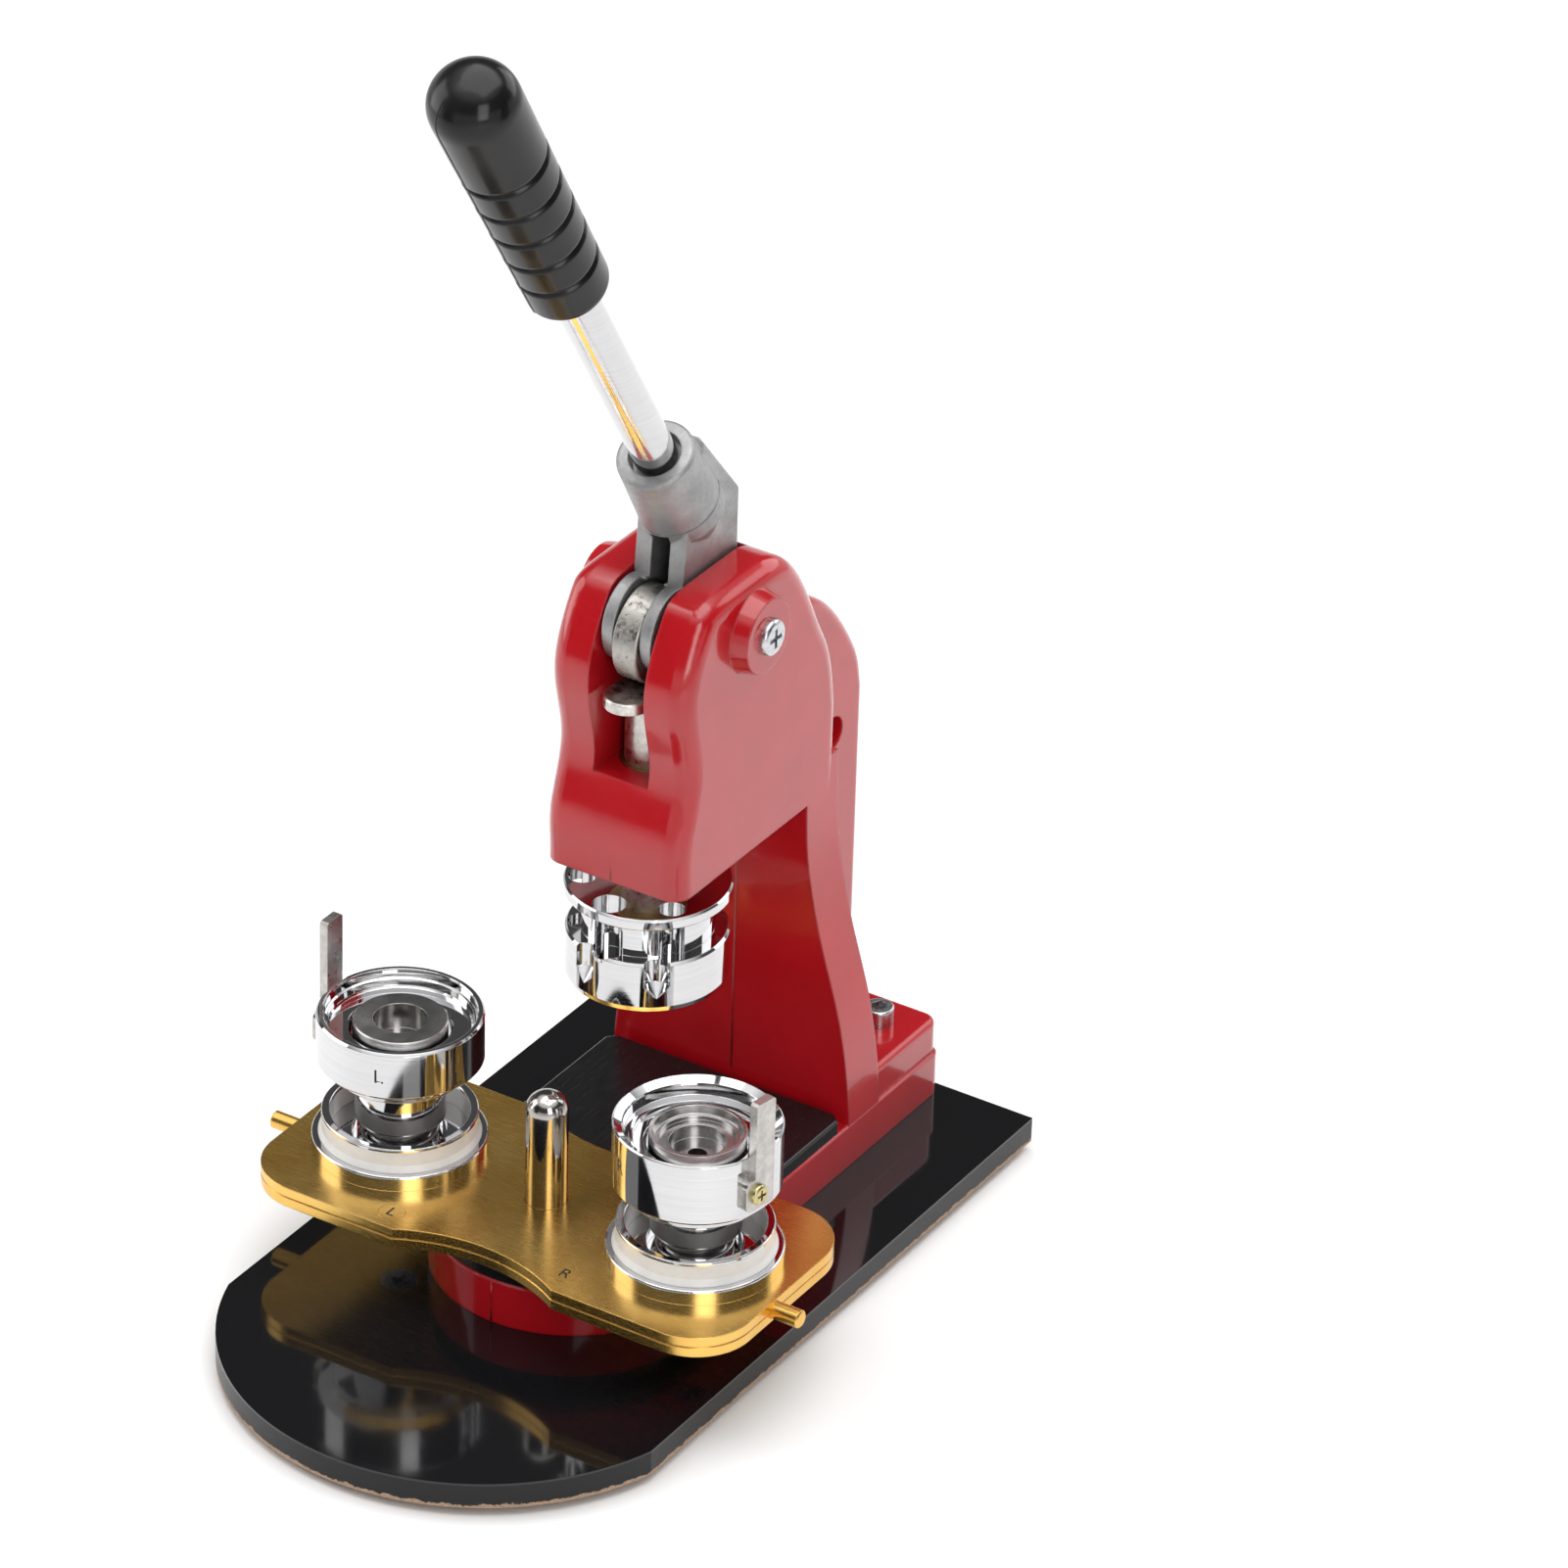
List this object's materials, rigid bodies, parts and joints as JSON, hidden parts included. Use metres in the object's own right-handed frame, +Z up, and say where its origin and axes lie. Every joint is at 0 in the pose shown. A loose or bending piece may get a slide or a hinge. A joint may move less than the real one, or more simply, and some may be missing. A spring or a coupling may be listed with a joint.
{
  "type": "button badge maker press",
  "caption": "Bench press for pin-back button badges: cast frame on a base board, lever-driven ram with an upper die, and a turntable carrying lower dies with spring rings",
  "frame": {"origin": "centre of the footprint of the whole object, at the underside of the rubber feet", "axes": "+Z up, +Y to the back where the web stands, -Y to the front where the operator sits, +X to the operator's right"},
  "size_m": [0.2, 0.287, 0.4574],
  "materials": {
    "core_board": "raw wood-fibre board edge",
    "laminate": "black gloss laminate",
    "rubber": "soft black rubber",
    "red_paint": "red gloss enamel on cast iron",
    "black_pad": "black sheet, satin gloss",
    "zinc": "bright zinc-plated steel",
    "yellow_zinc": "yellow zinc-plated steel",
    "polished": "polished and plated steel",
    "gold_plate": "gold satin finish",
    "nylon": "white nylon",
    "steel": "ground steel",
    "bronze": "bearing bronze",
    "cast_aluminium": "raw cast aluminium",
    "nickel": "satin nickel",
    "grip": "black moulded grip"
  },
  "bodies": {
    "frame": {"base_board_core": "core_board", "base_board_laminate": "laminate", "rubber_feet": "rubber", "foot_screws": "zinc", "frame_casting": "red_paint", "base_pad": "black_pad", "frame_bolts": "zinc", "frame_nuts": "zinc", "frame_washers": "zinc", "pivot_post": "polished", "pivot_screw": "zinc", "thrust_washer": "nylon", "detent_ball": "polished", "detent_spring": "steel", "return_spring": "steel", "upper_ram_bush": "bronze", "lower_ram_bush": "bronze", "lever_axle": "steel", "axle_screws": "zinc"},
    "lever": {"lever_fork": "cast_aluminium", "lever_rod": "polished", "lever_grip": "grip", "roller_pin": "steel"},
    "roller": {"roller": "steel"},
    "ram": {"ram": "steel", "wear_plate": "steel", "wear_plate_screw": "zinc", "ram_collar": "steel", "collar_pin": "steel", "upper_die_body": "polished", "pressing_ring": "steel", "upper_die_screw": "zinc"},
    "turntable": {"turntable_plate": "gold_plate", "turntable_pins": "gold_plate", "die_screws": "zinc", "left_pedestal": "steel", "right_pedestal": "steel", "left_die_base": "polished", "right_die_base": "polished", "left_die_sleeve": "nylon", "right_die_sleeve": "nylon", "left_die_rim": "polished", "right_die_rim": "polished", "left_ring_spring": "steel", "right_ring_spring": "steel"},
    "left_ring_body": {"left_ring": "polished", "left_tab": "nickel", "left_tab_screw": "yellow_zinc"},
    "right_ring_body": {"right_ring": "polished", "right_tab": "nickel", "right_tab_screw": "yellow_zinc"}
  },
  "joints": [
    {"name": "lever_pivot", "type": "hinge", "parent": "frame", "child": "lever", "pos_m": [0, 0.0485, 0.2225], "axis": [1, 0, 0], "range_deg": [0, 45]},
    {"name": "roller_spin", "type": "hinge", "parent": "lever", "child": "roller", "pos_m": [0, 0.0295, 0.2224], "axis": [1, 0, 0], "continuous": true},
    {"name": "ram_slide", "type": "slide", "parent": "frame", "child": "ram", "axis": [0, 0, -1], "range_m": [0, 0.015], "stiffness_N_per_m": 1500, "springref_m": -0.025, "deforming": ["return_spring"]},
    {"name": "turntable_turn", "type": "hinge", "parent": "frame", "child": "turntable", "pos_m": [0, -0.0245, 0.0385], "axis": [0, 0, 1], "range_deg": [-90, 90]},
    {"name": "left_ring_slide", "type": "slide", "parent": "turntable", "child": "left_ring_body", "axis": [0, 0, -1], "range_m": [0, 0.01], "stiffness_N_per_m": 2000, "springref_m": -0.004, "deforming": ["left_ring_spring"]},
    {"name": "right_ring_slide", "type": "slide", "parent": "turntable", "child": "right_ring_body", "axis": [0, 0, -1], "range_m": [0, 0.01], "stiffness_N_per_m": 2000, "springref_m": -0.004, "deforming": ["right_ring_spring"]}
  ],
  "couplings": [
    {"joint": "ram_slide", "follows": "lever_pivot", "m_per_rad": 0.019}
  ]
}
